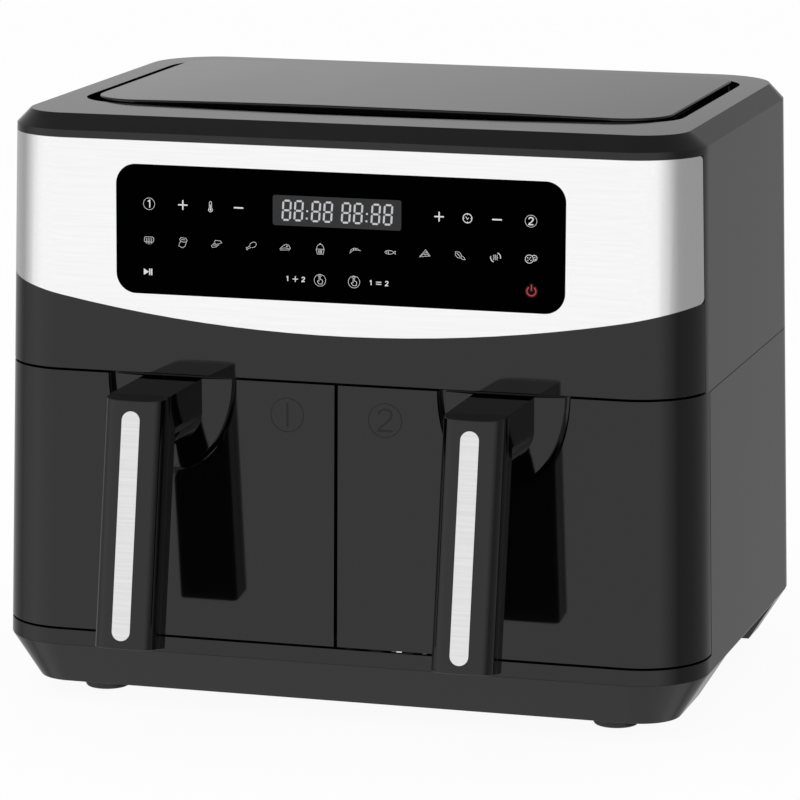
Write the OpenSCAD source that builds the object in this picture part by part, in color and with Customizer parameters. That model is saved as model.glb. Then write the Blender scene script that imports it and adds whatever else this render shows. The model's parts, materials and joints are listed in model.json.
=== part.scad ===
// Dual-drawer air fryer, free standing on four rubber feet.
// Millimetres, +Z up, front towards -Y. The origin is on the floor under the middle of the housing.

/* [Body] */
// Width of the housing at the seam above the drawers
body_w = 385; // [370:1:410]
// Depth of the housing at the same seam, without handles and rear cover
body_d = 280; // [270:1:310]
// Draft of the outer walls, which widen towards the floor
draft = 1.12; // [0.6:0.02:1.6]
// Plan radius of the front corners
front_r = 38; // [32:1:42]
// Plan radius of the rear corners
rear_r = 50; // [40:1:58]
// Wall of the plastic mouldings
wall = 3; // [2.4:0.2:3.6]
// Open seam between neighbouring mouldings
seam = 1.2; // [0.6:0.1:1.4]

/* [Levels] */
// Height of the base above the floor
base_lift = 7.5; // [6:0.5:12]
// Height of the chamfered skirt of the base
base_skirt = 24.5; // [20:0.5:28]
// How far the base skirt draws in at its foot
base_draw_in = 16; // [12:0.5:18]
// Upright band of the housing under the drawers
base_band = 9; // [8:0.5:12]
// Length of the carrying recess in each side of the base
recess_len = 128; // [100:2:140]
// How far that recess reaches inwards
recess_deep = 30; // [24:1:34]
// Height of the drawer level
drawer_h = 142.5; // [138:0.5:150]
// Height of the control level
control_h = 125; // [120:1:135]
// Upright rim of the top cover
cap_rim = 4; // [3:0.5:6]
// Height of the chamfer round the top cover
cap_chamfer = 8; // [6:0.5:10]
// How far that chamfer draws in
cap_draw_in = 8.5; // [6:0.5:10]

/* [Top] */
// Margin between the side of the body and the sunken tray in the top cover
tray_side = 25.5; // [22:0.5:32]
// Margin between the front face and the ends of the tray's front edge
tray_front_gap = 62.5; // [58:0.5:70]
// Extra reach of the tray front edge in the middle
tray_bow = 20.5; // [12:0.5:24]
// Margin between the rear face and the tray
tray_rear_gap = 32; // [28:1:40]
// Depth of the tray
tray_depth = 13; // [10:1:16]
// Corner radius of the tray
tray_r = 28; // [20:1:32]
// Gap between the tray wall and the side of the raised plate
plate_gap = 6.5; // [4:0.5:8]
// Margin between the front face and the front edge of the raised plate
plate_front_gap = 58.5; // [54:0.5:62]
// Height of the plate's crown above the rim of the top cover
plate_rise = 2.8; // [2.4:0.1:5]
// Drop of the plate from its crown to its sides
plate_sag = 1.5; // [0.5:0.1:2]
// Radius of the plate's front corners
plate_r = 30; // [20:1:34]
// Thickness of the plate at its sides
plate_edge = 2.6; // [2:0.2:3.4]

/* [Control panel] */
// Width of the glass
glass_w = 246; // [230:1:256]
// Height of the glass
glass_h = 69; // [60:1:74]
// Corner radius of the glass
glass_r = 11; // [6:1:16]
// Thickness of the glass
glass_t = 2.4; // [2:0.2:3]
// Distance from the top edge of the steel to the glass
glass_drop = 12.6; // [10:0.1:16]
// Distance of the glass from the middle of the body, to the right
glass_x = 0.7; // [-2:0.1:2]
// Thickness of the steel front sheet
steel_t = 0.8; // [0.6:0.1:1]
// Lowest point of the curved lower edge of the steel, above the seam
smile_low = 25.7; // [22:0.1:30]
// Radius of that lower edge
smile_r = 820; // [700:10:900]
// Distance of that lowest point from the middle of the body, to the right
smile_x = 1.5; // [-4:0.5:4]
// How far the steel wraps round the corners, measured back from the front face
steel_wrap = 32; // [26:0.5:34]
// Radius of the rear corners of the steel
steel_end_r = 3; // [1:0.5:5]

/* [Drawers] */
// Margin between the side of the body and the heating chamber
chamber_side = 13.1; // [12.6:0.1:20]
// Half of the gap between the two heating chambers
chamber_mid = 4; // [3.5:0.1:8]
// Margin between the rear of the pan and the rear face of the body
pan_rear = 44; // [38:1:60]
// Height of the pan
pan_h = 116; // [100:1:120]
// Wall of the pan
pan_wall = 1.5; // [1.2:0.1:2]
// Corner radius of the pan
pan_r = 24; // [16:1:30]
// How far the drawer fronts reach back round the corners
drawer_wrap = 39; // [36:0.5:44]
// Distance from the drawer's outer face to the pan
pan_back = 22; // [20:0.5:26]
// Height of the crisper plate over the pan floor
crisper_lift = 11; // [8:1:16]
// Thickness of the crisper plate
crisper_t = 2; // [1.6:0.2:3]
// Diameter of the crisper holes
crisper_hole = 9; // [7:0.5:10]
// Diameter of the round number badge on each drawer
badge_d = 18.6; // [14:0.2:22]
// Distance of the badge from the middle of the body
badge_x = 27; // [24:1:30]
// Distance of the badge under the seam
badge_drop = 17.8; // [15:0.2:22]

/* [Handles] */
// Distance of each handle from the middle of its drawer, towards the other drawer
handle_off = 4.95; // [0:0.05:8]
// Width of the arm and the grip
grip_w = 33; // [28:1:36]
// Distance from the drawer face to the front of the grip at its top
grip_reach = 64.5; // [60:0.5:72]
// Depth of the grip from front to back
grip_t = 26.5; // [22:0.5:28]
// Length of the grip along its own axis
grip_len = 130; // [115:1:132]
// Lean of the grip, its foot further forward
grip_tilt = 10; // [6:0.5:12]
// Depth of the front shell of the grip
cover_t = 15; // [12:0.5:18]
// How far the front of the grip bulges between its edges
grip_bulge = 2.2; // [1.4:0.2:4]
// Radius of the front edges of the grip
grip_r = 9; // [6:0.5:11]
// Radius of the rear edges of the grip
grip_rear_r = 3; // [2:0.5:6]
// Slope of the arm's top where it runs down to the grip's front
arm_slope = 2.5; // [1:0.5:12]
// Distance from the drawer face to the start of that slope
arm_flat = 50; // [44:1:56]
// Width of the steel inlay
strip_w = 10.1; // [8:0.1:12]
// Length of the steel inlay
strip_len = 120; // [100:1:121]
// Thickness of the steel inlay
strip_t = 1.2; // [0.8:0.1:1.6]
// Distance of the inlay below the middle of the grip
strip_drop = 0.85; // [0:0.05:2]
// Height of the arm where it leaves the drawer
arm_h = 34; // [30:1:38]
// Step of the arm's top under the drawer's top
arm_drop = 1; // [0.6:0.1:2]
// Half width of the half-round foot plate of the handle
foot_plate_a = 32.6; // [30:0.2:34]
// Height of that foot plate
foot_plate_b = 48.8; // [44:0.2:52]
// Width of the groove round the foot plate
foot_groove = 2.6; // [2:0.1:3]
// Width of the bevel round the groove at its lowest point
foot_bevel = 4.3; // [3:0.1:5]
// Width of that bevel at the sides of the foot plate
foot_bevel_side = 0.8; // [0.4:0.1:2]
// Depth of that bevel
foot_bevel_t = 1.1; // [0.6:0.1:2]
// Depth of the groove
foot_pocket = 5; // [4:0.5:6]
// How far the foot plate falls back from its crown to its rim
foot_dome = 5; // [3:0.1:5.5]

/* [Air path] */
// Sheet of the heating chambers
liner_t = 1.2; // [1:0.1:1.6]
// Clearance at each side of a pan in its chamber
pan_clear = 3.5; // [3:0.5:5]
// Height of the deck over the seam
deck_rise = 52; // [48:1:58]
// Radius of the outer turn of each heating coil
heater_r = 62; // [54:1:66]
// Diameter of the heating tube
heater_tube = 6.4; // [5:0.2:8]
// Radius of the hot air wheel
fan_r = 50; // [44:1:56]
// Radius of the cooling wheel above the motor
cool_r = 42; // [36:1:44]
// Diameter of the motor shaft
shaft_d = 6; // [5:0.5:7]
// Radial running clearance of the shaft in the motor
shaft_play = 0.05; // [0.03:0.01:0.08]
// Radius of the motor
motor_r = 26; // [22:1:28]
// Height of the motor
motor_h = 20; // [18:1:22]

/* [Feet and rear] */
// Diameter of the feet
foot_d = 24.6; // [20:0.5:28]
// Distance of the feet from the sides of the body
foot_side = 48.5; // [46:0.5:60]
// Distance of the feet from the front and rear faces of the body
foot_front = 39; // [38:0.5:50]
// Width of the rear exhaust cover
rear_w = 220; // [200:5:240]
// Height of the rear exhaust cover
rear_h = 84; // [76:2:92]
// How far the rear cover stands out
rear_out = 9; // [7:0.5:12]
// Bore of the cord gland
gland_bore = 7.6; // [7:0.2:9]
// Distance of the cord gland from the side of the body
gland_side = 62.5; // [56:0.5:80]

/* [Electrics] */
// Width of the power board
board_w = 72; // [60:1:80]
// Depth of the power board
board_d = 110; // [90:1:120]
// Height of the power board over the deck
board_lift = 8; // [6:0.5:10]
// Diameter of the wires of the heater guard
guard_wire = 2.6; // [2:0.1:3]

/* [Hidden] */

// Levels, from the floor up
skirt_top_z = base_lift + base_skirt;
base_top_z = skirt_top_z + base_band;
seam_z = base_top_z + drawer_h;
rim_z = seam_z + control_h;
chamfer_z = rim_z + cap_rim;
cap_z = chamfer_z + cap_chamfer;
deck_z = seam_z + deck_rise;
tray_z = cap_z - tray_depth;
rear_z = rim_z - 16 - rear_h / 2;
rear_gap = rear_h / 2 * tan(draft) + 0.2;
gland_x = body_w / 2 - gland_side;
gland_z = base_top_z + 35;
foot_x = body_w / 2 - foot_side;
foot_y = body_d / 2 - foot_front;
handle_x = body_w / 4 - handle_off;
tray_half_w = body_w / 2 - tray_side;
tray_front = body_d / 2 - tray_front_gap;
tray_rear = body_d / 2 - tray_rear_gap;
plate_front = body_d / 2 - plate_front_gap;

// Depths
face_y = -body_d / 2;
corner_y = face_y + front_r;
thin = 0.01;
over = 2;
corner_steps = 12;
oval_steps = 40;

// Drawer interior
chamber_floor_z = base_top_z + 1;
glide_h = 5;
slip = 0.3;
pan_z = chamber_floor_z + liner_t + glide_h + 0.1;
chamber_w = body_w / 2 - chamber_side - chamber_mid;
chamber_x = chamber_mid + chamber_w / 2;
pan_y0 = face_y + pan_back;
pan_y1 = body_d / 2 - pan_rear;
pan_w = chamber_w - 2 * (pan_clear + liner_t);
pan_d = pan_y1 - pan_y0;
chamber_y0 = face_y + drawer_wrap + 2;
chamber_y1 = pan_y1 + 10;
chamber_d = chamber_y1 - chamber_y0;
chamber_h = deck_z - chamber_floor_z;
inner_t = 3;
crisper_z = pan_z + pan_wall + crisper_lift;
crisper_w = pan_w - 2 * pan_wall - 4;
crisper_d = pan_d - 2 * pan_wall - 4;
pan_mid_y = (pan_y0 + pan_y1) / 2;
fan_y = pan_mid_y - 2;
crisper_edge = 16;
hole_step_x = (crisper_w - 2 * crisper_edge) / 6;
hole_step_y = (crisper_d - 2 * crisper_edge) / 10;
pad_len = 14;
pad_t = 3;
pad_h = 8;
screw_rows = [-12, -34];
screw_bore = 4.4;

// Stack over each chamber
heater_z = deck_z - 20;
guard_z = heater_z - 9;
wheel_z = heater_z + heater_tube / 2 + 2;
wheel_h = 7;
motor_z = deck_z + 5;
cool_z = motor_z + motor_h + 3;
cool_h = 9;
lead_x = 12;
sensor_x = 40;
sensor_up = 18;

function half_w(z) = body_w / 2 + (seam_z - z) * tan(draft);
function half_d(z) = body_d / 2 + (seam_z - z) * tan(draft);
function arc(cx, cy, r, start) = [
  for (i = [0 : corner_steps])
    let (a = start + 90 * i / corner_steps)
      [cx + r * cos(a), cy + r * sin(a)]
];
function half_oval(a, b) = [
  for (i = [0 : oval_steps]) [-a * cos(180 * i / oval_steps), -b * sin(180 * i / oval_steps)]
];

// Plan of the body with its own front and rear corner radii
module plan(hw, hd, rf, rr) {
  polygon(concat(
    arc(hw - rr, hd - rr, rr, 0),
    arc(rr - hw, hd - rr, rr, 90),
    arc(rf - hw, rf - hd, rf, 180),
    arc(hw - rf, rf - hd, rf, 270)
  ));
}

module slice(z, inset, turn = 1) {
  translate([0, 0, z])
    linear_extrude(height = thin)
      plan(half_w(z) - inset, half_d(z) - inset, front_r - inset * turn, rear_r - inset * turn);
}

// A solid stretch of the drafted body between two levels
module band(z0, z1, inset0 = 0, inset1 = 0, turn = 1) {
  hull() {
    slice(z0, inset0, turn);
    slice(z1 - thin, inset1, turn);
  }
}

module rounded(w, h, r) {
  square([w - 2 * r, h], center = true);
  square([w, h - 2 * r], center = true);
  for (x = [-1, 1], y = [-1, 1])
    translate([x * (w / 2 - r), y * (h / 2 - r)])
      circle(r = r, $fn = 48);
}

// Frame that lies in the drafted front face, its origin on the seam over the drawers
module on_front() {
  translate([0, face_y, seam_z])
    rotate([-draft, 0, 0])
      children();
}

// A flat shape drawn in the front face, from the depth a to the depth b behind it
module into_front(a, b) {
  on_front()
    translate([0, b, 0])
      rotate([90, 0, 0])
        linear_extrude(height = b - a)
          children();
}

module side(s) {
  mirror([s < 0 ? 1 : 0, 0, 0])
    children();
}

// ---------------------------------------------------------------- shell

foot_bore = foot_d / 2 - 6;
vent_step = 18;
vent_w = 6;
vent_len = 60;
ledge_len = 110;

// Room of the two carrying recesses, grown by t
module recesses(t) {
  reach = half_w(base_lift) - recess_deep;
  for (s = [-1, 1])
    side(s)
      translate([reach - t, -recess_len / 2 + 4 - t, base_lift - over])
        cube([recess_deep + 20, recess_len + 2 * t, base_skirt - 1.5 + over + t]);
}

module base_tray() {
  color("#333435") {
    difference() {
      band(base_lift, skirt_top_z, base_draw_in, 0);
      difference() {
        band(base_lift + wall, skirt_top_z + thin, base_draw_in + wall, wall);
        recesses(wall);
      }
      recesses(0);
      for (x = [-1, 1], y = [-1, 1])
        translate([x * foot_x, y * foot_y, base_lift - over])
          cylinder(r = foot_bore, h = wall + 2 * over, $fn = 48);
      for (k = [-5 : 5])
        translate([k * vent_step - vent_w / 2, -vent_len / 2, base_lift - over])
          cube([vent_w, vent_len, wall + 2 * over]);
    }
    // Ledges that carry the chambers
    for (x = [-1, 1], y = [-50, 40])
      translate([x * (chamber_x - 12) - ledge_len / 2, y - wall, base_lift + wall - 1])
        cube([ledge_len, 2 * wall, chamber_floor_z - base_lift - wall + 1]);
  }
}

module feet() {
  color("#1b1b1c")
    for (x = [-1, 1], y = [-1, 1])
      translate([x * foot_x, y * foot_y, 0]) {
        cylinder(r1 = foot_d / 2 - 0.8, r2 = foot_d / 2, h = 1, $fn = 64);
        translate([0, 0, 1 - thin])
          cylinder(r = foot_d / 2, h = base_lift - 1 + thin, $fn = 64);
        cylinder(r = foot_bore - 0.15, h = base_lift + wall, $fn = 48);
      }
}

// Shallow seam cut round the outside at the level z
module seam_groove(z) {
  difference() {
    band(z - 0.4, z + 0.4, -1, -1);
    band(z - 1, z + 1, 0.8, 0.8);
  }
}

module lower_housing() {
  color("#3a3b3d")
    difference() {
      band(skirt_top_z, seam_z - seam / 2);
      band(skirt_top_z - over, seam_z + over, wall, wall);
      // Mouth for the two drawers
      translate([-body_w, face_y - 20, base_top_z - seam / 2])
        cube([2 * body_w, drawer_wrap + seam + 20, drawer_h + 2 * over]);
      seam_groove(seam_z - seam / 2);
      translate([gland_x, body_d / 2 - 10, gland_z])
        rotate([-90, 0, 0])
          cylinder(r = gland_bore / 2 + 4.2, h = 30, $fn = 48);
    }
}

module upper_housing() {
  color("#3a3b3d")
    difference() {
      band(seam_z - seam / 2, rim_z);
      band(seam_z - over, rim_z + over, wall, wall);
      translate([-body_w, face_y - 20, seam_z - over])
        cube([2 * body_w, steel_wrap + 20, control_h + 2 * over]);
      // Exhaust windows behind the rear cover
      for (x = [-1, 1])
        translate([x * rear_w / 4 - 40, body_d / 2 - 20, rear_z + 6])
          cube([80, 30, rear_h / 2 - 16]);
      into_rear(-wall - 1, 4)
        rounded(rear_w - 12, tongue_t + 0.6, 1.9);
    }
}

tongue_t = 3.4;

// A flat shape drawn in the rear face, from the depth a to the depth b outside it
module into_rear(a, b) {
  translate([0, half_d(rear_z) + a, rear_z])
    rotate([90, 0, 180])
      linear_extrude(height = b - a)
        children();
}

module rear_cover() {
  color("#2c2d2f")
    difference() {
      union() {
        into_rear(rear_gap, rear_out)
          rounded(rear_w, rear_h, 14);
        into_rear(-wall - 1, rear_gap + 1)
          rounded(rear_w - 14, tongue_t, 1.6);
      }
      into_rear(-1, rear_out - wall)
        difference() {
          rounded(rear_w - 2 * wall, rear_h - 2 * wall, 12);
          square([rear_w, tongue_t], center = true);
        }
      for (x = [-1, 1], row = [-3 : 3])
        if (row != 0)
          into_rear(rear_out - wall - 1, rear_out + 1)
            translate([x * rear_w / 4, row * rear_h / 8.4])
              rounded(rear_w / 2 - 26, 4.4, 2);
    }
}

module cord_gland() {
  color("#1e1e1f")
    translate([gland_x, half_d(gland_z) - wall - 4, gland_z])
      rotate([-90, 0, 0])
        difference() {
          union() {
            cylinder(r = gland_bore / 2 + 4, h = wall + 10, $fn = 48);
            translate([0, 0, wall + 4.4])
              cylinder(r = gland_bore / 2 + 6.5, h = 3, $fn = 48);
            cylinder(r = gland_bore / 2 + 6.5, h = 3.4, $fn = 48);
          }
          translate([0, 0, -1])
            cylinder(r = gland_bore / 2, h = wall + 14, $fn = 48);
        }
}

slot_step = 9;
slot_w = 4;
slot_len = 64;
slot_y = tray_rear - slot_len - 16;

// Outline of the tray: straight sides, round corners, front edge bowed forwards
module tray_plan(grow = 0) {
  bow_r = (tray_half_w * tray_half_w + tray_bow * tray_bow) / (2 * tray_bow);
  offset(r = tray_r + grow, $fn = 48)
    offset(delta = -tray_r)
      intersection() {
        translate([-tray_half_w, -body_d])
          square([2 * tray_half_w, body_d + tray_rear]);
        translate([0, bow_r - tray_front - tray_bow])
          circle(r = bow_r, $fn = 180);
      }
}

module top_cover() {
  color("#3b3c3e") {
    difference() {
      union() {
        band(rim_z, chamfer_z);
        band(chamfer_z - thin, cap_z, 0, cap_draw_in, 1.5);
      }
      band(rim_z - over, chamfer_z, wall, wall);
      band(chamfer_z - 2 * thin, cap_z - wall, wall, cap_draw_in, 1.3);
      translate([0, 0, tray_z])
        linear_extrude(height = tray_depth + over)
          tray_plan();
    }
    // Sunken tray with its intake slots
    difference() {
      translate([0, 0, tray_z - wall])
        linear_extrude(height = tray_depth + wall - 0.6)
          tray_plan(2);
      translate([0, 0, tray_z])
        linear_extrude(height = tray_depth + over)
          tray_plan();
      for (x = [-1, 1], k = [-4 : 4])
        translate([x * chamber_x + k * slot_step - slot_w / 2, slot_y, tray_z - wall - over])
          cube([slot_w, slot_len, wall + 2 * over]);
    }
  }
}

plate_under_z = cap_z + plate_rise - plate_sag - plate_edge;
plate_half_w = tray_half_w - plate_gap;
plate_rear = tray_rear - plate_gap;
post_r = 5;
post_in = 20;

// Height of the crowned top of the plate at the distance x from its middle
function crown(x) = cap_z + plate_rise - plate_sag * pow(x / plate_half_w, 2);

module top_plate() {
  reach = plate_half_w + 1;
  color("#3e3f41") {
    intersection() {
      translate([0, (plate_rear - plate_front) / 2, plate_under_z - 1])
        linear_extrude(height = plate_edge + plate_sag + 3)
          plan(plate_half_w, (plate_rear + plate_front) / 2, plate_r, 13);
      rotate([90, 0, 0])
        linear_extrude(height = 2 * body_d, center = true)
          polygon(concat(
            [[reach, plate_under_z], [-reach, plate_under_z]],
            [for (i = [-12 : 12]) [i * reach / 12, crown(i * reach / 12)]]
          ));
    }
    for (x = [-1, 1], y = [post_in - plate_front, plate_rear - post_in])
      translate([x * (plate_half_w - post_in), y, tray_z])
        cylinder(r = post_r, h = plate_under_z - tray_z + 1, $fn = 32);
  }
}

// ---------------------------------------------------------------- control level

glass_z = control_h - glass_drop - glass_h / 2;

// Everything inside the curved lower edge of the steel, as a solid through the front
module over_smile(grow = 0) {
  translate([smile_x, 0, seam_z + smile_low + smile_r])
    rotate([90, 0, 0])
      cylinder(r = smile_r + grow, h = 2 * body_d, center = true, $fn = 720);
}

module wrap_region(grow = 0) {
  translate([-body_w, face_y - 20, seam_z])
    cube([2 * body_w, steel_wrap + 20 + grow, control_h + over]);
}

module front_fascia() {
  color("#38393b")
    difference() {
      intersection() {
        band(seam_z + seam / 2, rim_z);
        wrap_region(-0.1);
      }
      band(seam_z - over, rim_z + over, wall, wall);
      // Seat of the steel sheet
      intersection() {
        difference() {
          band(seam_z, rim_z + over, -1, -1);
          band(seam_z - over, rim_z + 2 * over, steel_t, steel_t);
        }
        over_smile(0.1);
        wrap_region(over);
      }
      into_front(-1, wall + 1)
        translate([glass_x, glass_z])
          rounded(glass_w + 0.4, glass_h + 0.4, glass_r);
    }
}

steel_end = 0.6;
steel_end_y = face_y + steel_wrap - steel_end;
steel_low_z = seam_z + smile_low + smile_r - sqrt(pow(smile_r, 2) - pow(half_w(seam_z) - 2, 2));

// Side view of the steel, its rear corners round
module steel_sides() {
  rotate([90, 0, 90])
    linear_extrude(height = 2 * body_w, center = true) {
      translate([-body_d, seam_z - 1])
        square([body_d + steel_end_y - steel_end_r, control_h + over]);
      translate([-body_d, steel_low_z + steel_end_r])
        square([body_d + steel_end_y, rim_z - steel_low_z - 2 * steel_end_r]);
      for (z = [steel_low_z + steel_end_r, rim_z - steel_end_r])
        translate([steel_end_y - steel_end_r, z])
          circle(r = steel_end_r, $fn = 32);
    }
}

module steel_front() {
  color("#d4d5d6")
    intersection() {
      difference() {
        band(seam_z + 1, rim_z);
        band(seam_z, rim_z + over, steel_t, steel_t);
        into_front(-1, wall + 1)
          translate([glass_x, glass_z])
            rounded(glass_w + 0.3, glass_h + 0.3, glass_r);
      }
      over_smile();
      wrap_region(-steel_end);
      steel_sides();
    }
}

module control_glass() {
  color("#08080a")
    into_front(-0.15, glass_t)
      translate([glass_x, glass_z])
        rounded(glass_w, glass_h, glass_r);
}

module display_module() {
  color("#47484c")
    into_front(glass_t, glass_t + 5.6)
      translate([glass_x, glass_z + 15])
        square([128, 24], center = true);
}

board_depth = glass_t + 5.6;

module control_board() {
  color("#215c38") {
    into_front(board_depth, board_depth + 1.6)
      translate([glass_x, glass_z])
        rounded(glass_w - 14, glass_h - 9, 3);
    into_front(board_depth + 1.6 - thin, board_depth + 5) {
      translate([glass_x - 60, glass_z - 6])
        square([12, 12], center = true);
      translate([glass_x + 52, glass_z + 8])
        square([20, 7], center = true);
      translate([glass_x + 88, glass_z - 14])
        square([9, 14], center = true);
    }
  }
}

module control_frame() {
  color("#dcdcd8") {
    difference() {
      into_front(glass_t, board_depth + 8)
        translate([glass_x, glass_z])
          rounded(glass_w + 8, glass_h + 8, glass_r + 3);
      into_front(glass_t - 1, board_depth + 6)
        translate([glass_x, glass_z])
          rounded(glass_w - 13.4, glass_h - 8.4, 3.3);
      into_front(0, wall + 0.1)
        translate([glass_x, glass_z])
          difference() {
            square([glass_w + 40, glass_h + 40], center = true);
            rounded(glass_w, glass_h, glass_r);
          }
    }
  }
}

// ---------------------------------------------------------------- inner frame and electrics

module deck() {
  color("#a9abad")
    difference() {
      translate([0, 0, deck_z])
        linear_extrude(height = deck_t)
          difference() {
            plan(half_w(deck_z) - wall - 0.6, half_d(deck_z) - wall - 0.6, front_r - wall, rear_r - wall);
            translate([-body_w, -body_d])
              square([2 * body_w, body_d + face_y + board_depth + deck_back]);
          }
      for (s = [-1, 1])
        translate([s * chamber_x, fan_y, deck_z - over]) {
          cylinder(r = shaft_d / 2 + 4, h = 8, $fn = 48);
          for (t = [-1, 1])
            translate([t * lead_x, heater_r, 0])
              cylinder(r = heater_tube / 2 + 1, h = 8, $fn = 32);
        }
    }
}

deck_back = 14;
deck_t = 1.6;
board_t = 1.6;
board_hole_in = 6;
board_y0 = -30;
board_z = deck_z + board_lift;
board_top_z = board_z + board_t;

module power_board() {
  color("#b98a4a") {
    translate([-board_w / 2, board_y0, board_z])
      cube([board_w, board_d, board_t]);
    for (x = [board_hole_in - board_w / 2, board_w / 2 - board_hole_in])
      for (y = [board_hole_in, board_d - board_hole_in])
        translate([x, board_y0 + y, deck_z + deck_t])
          cylinder(r = 3, h = board_lift - deck_t + 0.5, $fn = 24);
    // Transformer
    translate([-0.36 * board_w, board_y0 + 0.18 * board_d, board_top_z - thin])
      cube([0.33 * board_w, 0.25 * board_d, 22]);
    // Three relays
    for (k = [0, 1, 2])
      translate([0.08 * board_w, board_y0 + (0.14 + 0.18 * k) * board_d, board_top_z - thin])
        cube([0.3 * board_w, 0.14 * board_d, 16]);
    // Heat sink
    translate([-0.39 * board_w, board_y0 + 0.62 * board_d, board_top_z - thin])
      cube([4, 0.31 * board_d, 26]);
    // Two capacitors
    for (k = [0, 1])
      translate([(0.22 * k - 0.17) * board_w, board_y0 + 0.85 * board_d, board_top_z - thin])
        cylinder(r = 6, h = 20, $fn = 32);
  }
}

module case_screws() {
  color("#8d8f92") {
    for (x = [-1, 1], y = [-1, 1])
      translate([x * (foot_x - 32), y * (foot_y - 4), base_lift + wall])
        cylinder(r = 3.6, h = 2, $fn = 24);
    for (x = [-1, 1])
      translate([x * (rear_w / 2 - 5.5), half_d(rear_z) + rear_out, rear_z])
        rotate([-90, 0, 0])
          cylinder(r = 3, h = 1.6, $fn = 24);
  }
}

module chamber() {
  color("#8f9294")
    difference() {
      translate([chamber_x - chamber_w / 2, chamber_y0, chamber_floor_z])
        cube([chamber_w, chamber_d, chamber_h]);
      translate([chamber_x - chamber_w / 2 + liner_t, chamber_y0 - 1, chamber_floor_z + liner_t])
        cube([chamber_w - 2 * liner_t, chamber_d + 1 - liner_t, chamber_h - 2 * liner_t]);
      translate([chamber_x, fan_y, deck_z - over]) {
        cylinder(r = shaft_d / 2 + 3, h = 8, $fn = 48);
        for (t = [-1, 1])
          translate([t * lead_x, heater_r, 0])
            cylinder(r = heater_tube / 2 + 0.2, h = 8, $fn = 32);
      }
      translate([chamber_x + sensor_x, chamber_y1 - 6, seam_z + sensor_up])
        rotate([-90, 0, 0])
          cylinder(r = 2.3, h = 12, $fn = 32);
    }
}

module glides() {
  color("#e2e2dd")
    for (t = [-1, 1])
      translate([chamber_x + t * (pan_w / 2 - pan_r) - 4, chamber_y0 + 2, chamber_floor_z + liner_t])
        cube([8, chamber_d - 20, glide_h]);
}

module heater() {
  color("#6e6a66")
    translate([chamber_x, fan_y, heater_z]) {
      for (r = [heater_r, heater_r - 2.6 * heater_tube])
        rotate_extrude($fn = 96)
          translate([r, 0])
            circle(d = heater_tube, $fn = 24);
      for (a = [40, 160, 280])
        rotate([0, 0, a])
          translate([heater_r - 1.3 * heater_tube, 0, 0])
            cube([3 * heater_tube, 5, 2.4], center = true);
      for (t = [-1, 1])
        translate([t * lead_x, heater_r, 0])
          cylinder(d = heater_tube, h = deck_z - heater_z + 9, $fn = 32);
    }
}

module heater_guard() {
  rim = heater_r + 10;
  color("#b4b6b8")
    translate([chamber_x, fan_y, guard_z]) {
      for (r = [rim, rim * 2 / 3, rim / 3])
        rotate_extrude($fn = 96)
          translate([r, 0])
            circle(d = guard_wire, $fn = 16);
      for (a = [0, 60, 120])
        rotate([0, 0, a])
          cube([2 * rim, 2, 1.6], center = true);
      // Hooks up to the chamber roof
      for (a = [30, 150, 270])
        rotate([0, 0, a])
          translate([rim, 0, 0])
            cylinder(d = guard_wire + 0.8, h = deck_z - liner_t - guard_z, $fn = 16);
    }
}

module motor() {
  color("#9a9c9f")
    translate([chamber_x, fan_y, motor_z])
      difference() {
        union() {
          cylinder(r = motor_r, h = motor_h, $fn = 72);
          for (a = [45 : 90 : 315])
            rotate([0, 0, a])
              translate([motor_r - 1, 0, deck_z + 1.6 - motor_z])
                cylinder(r = 4, h = motor_z - deck_z + 4, $fn = 24);
        }
        translate([0, 0, -6])
          cylinder(r = shaft_d / 2 + shaft_play, h = motor_h + 12, $fn = 48);
      }
}

module sensor() {
  color("#c0c2c4")
    translate([chamber_x + sensor_x, chamber_y1, seam_z + sensor_up])
      rotate([90, 0, 0]) {
        cylinder(r = 2, h = 50, $fn = 32);
        translate([0, 0, -5])
          cylinder(r = 5, h = 5, $fn = 32);
      }
}

module switch_box() {
  color("#222326")
    translate([chamber_x - 40, chamber_y1, base_top_z + 60]) {
      cube([20, 8, 10]);
      translate([4, 8 - thin, 3])
        cube([3, 3, 4]);
      translate([13, 8 - thin, 3])
        cube([3, 3, 4]);
    }
}

// ---------------------------------------------------------------- rotors

module hot_wheel() {
  color("#c4c6c8")
    translate([chamber_x, fan_y, wheel_z]) {
      difference() {
        union() {
          translate([0, 0, wheel_h - 1])
            cylinder(r = fan_r, h = 1.2, $fn = 96);
          cylinder(r = 9, h = wheel_h, $fn = 48);
        }
        translate([0, 0, -1])
          cylinder(r = shaft_d / 2, h = wheel_h + 3, $fn = 48);
      }
      for (a = [0 : 40 : 320])
        rotate([0, 0, a])
          translate([8, -0.6, 0])
            cube([fan_r - 12, 1.2, wheel_h - 0.5]);
    }
}

module cool_wheel() {
  color("#4a4c50")
    translate([chamber_x, fan_y, cool_z]) {
      difference() {
        cylinder(r = 9, h = cool_h, $fn = 48);
        translate([0, 0, -1])
          cylinder(r = shaft_d / 2, h = cool_h + 3, $fn = 48);
      }
      for (a = [0 : 45 : 315])
        rotate([0, 0, a])
          translate([7.5, 0, 1])
            rotate([28, 0, 0])
              cube([cool_r - 9, 1.4, cool_h]);
    }
}

module shaft() {
  color("#d8dadc")
    translate([chamber_x, fan_y, wheel_z - 1.5])
      cylinder(d = shaft_d, h = cool_z + cool_h + 1.5 - wheel_z, $fn = 48);
}

// ---------------------------------------------------------------- drawers

drawer_z0 = base_top_z + seam / 2;
drawer_z1 = seam_z - seam / 2;
drawer_x0 = seam * 0.8;

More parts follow.
